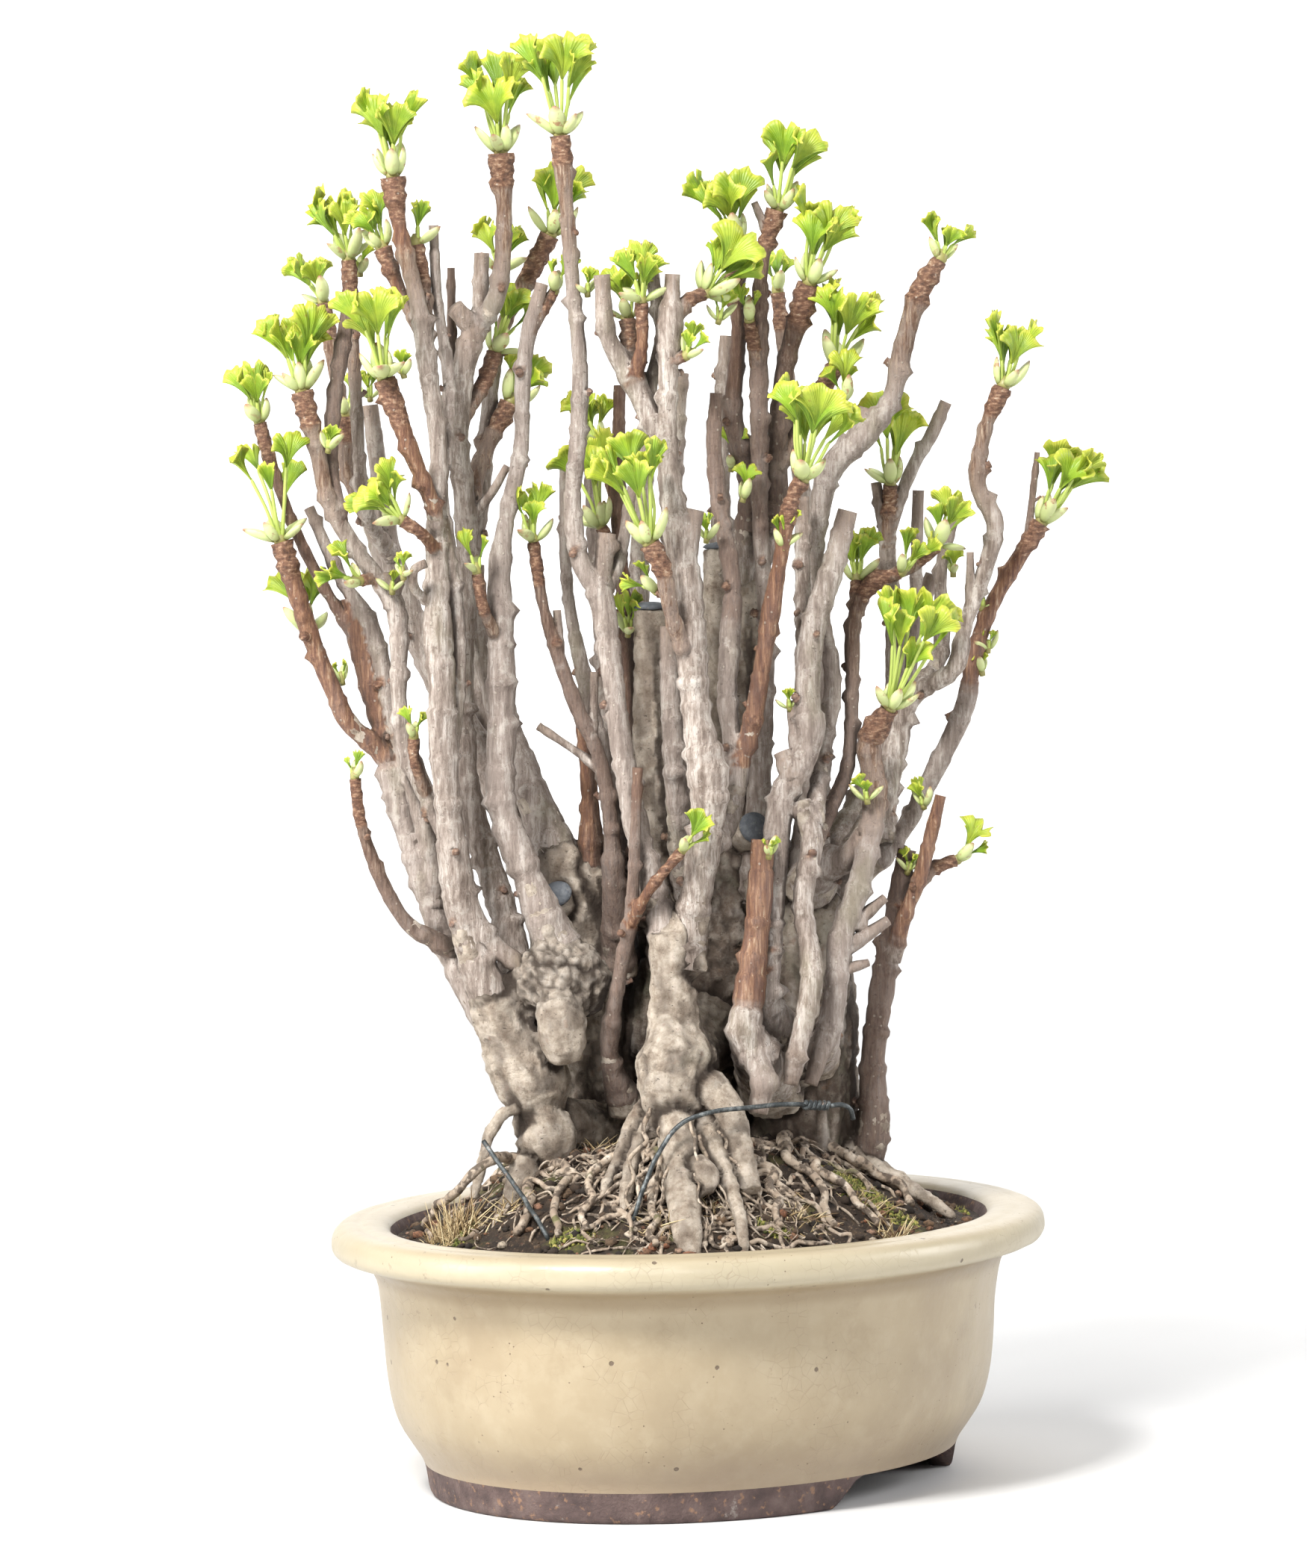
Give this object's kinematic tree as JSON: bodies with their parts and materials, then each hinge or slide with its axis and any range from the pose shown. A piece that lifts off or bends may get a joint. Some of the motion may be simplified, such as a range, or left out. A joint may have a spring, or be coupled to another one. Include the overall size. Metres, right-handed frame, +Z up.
{
  "type": "ginkgo bonsai",
  "caption": "Bonsai ginkgo clump with many upright stems and tufts of unfolding fan leaves, rooted on a mound of soil in an oval glazed pot.",
  "frame": {"origin": "under the middle of the whole thing's box, on the surface that the pot stands on", "axes": "+X along the pot's long axis, +Z up; the front of the tree faces (-0.92, -0.39, 0), which is mostly -X, turned 23 degrees towards -Y"},
  "size_m": [0.3, 0.2786, 0.5092],
  "materials": {
    "glaze": "satin cream glaze, crackled and stained",
    "soil": "dark granular soil",
    "bark": "dull grey-beige bark",
    "leaf": "fresh yellow-green leaf",
    "wire": "oxidised grey wire",
    "wound_paste": "dried slate-grey wound paste",
    "drain_mesh": "black plastic net"
  },
  "bodies": {
    "root": {"pot": "glaze", "soil": "soil", "ginkgo_wood": "bark", "tie_wire_left": "wire", "tie_wire_front": "wire", "wound_paste_top": "wound_paste", "wound_paste_stub": "wound_paste", "wound_paste_left": "wound_paste", "wound_paste_right": "wound_paste", "drain_mesh_1": "drain_mesh", "drain_mesh_2": "drain_mesh", "leaves_left_leader": "leaf", "leaves_left_mid_tall": "leaf", "leaves_mid_stem": "leaf", "leaves_left_rear_high": "leaf", "leaves_left_spur_a": "leaf", "leaves_rear_d": "leaf", "leaves_left_grey_a": "leaf", "leaves_left_brown": "leaf", "leaves_left_spur_b": "leaf", "leaves_left_mid_spur": "leaf", "leaves_left_copper": "leaf", "leaves_left_outer_twig": "leaf", "leaves_left_arm_spur": "leaf", "leaves_left_fan_spur": "leaf", "leaves_left_rear_twig": "leaf", "leaves_left_side_spur": "leaf", "leaves_left_thin": "leaf", "leaves_left_low_twig": "leaf", "leaves_left_inner_spur": "leaf", "leaves_left_mid_wrinkled": "leaf", "leaves_left_mid_dark": "leaf", "leaves_left_inner_bud": "leaf", "leaves_thin_dark": "leaf", "leaves_copper_back_a": "leaf", "leaves_copper_back_b": "leaf", "leaves_mid_leaf_spur": "leaf", "leaves_mid_left_spur": "leaf", "leaves_mid_fork_back": "leaf", "leaves_mid_fork_copper": "leaf", "leaves_mid_main_arm": "leaf", "leaves_mid_main_spur": "leaf", "leaves_right_tall": "leaf", "leaves_right_brown": "leaf", "leaves_right_dark": "leaf", "leaves_rear_e": "leaf", "leaves_right_tall_spur": "leaf", "leaves_right_dark_arm": "leaf", "leaves_mid_copper": "leaf", "leaves_crooked": "leaf", "leaves_right_tall_cut_spur": "leaf", "leaves_right_thin_spur": "leaf", "leaves_right_thin": "leaf", "leaves_right_thin_arm": "leaf", "leaves_right_outer": "leaf", "leaves_right_zigzag": "leaf", "leaves_far_right": "leaf", "leaves_right_shoot_spur": "leaf", "leaves_left_mid_rear": "leaf", "leaves_front_copper_twig": "leaf"}
  },
  "joints": []
}
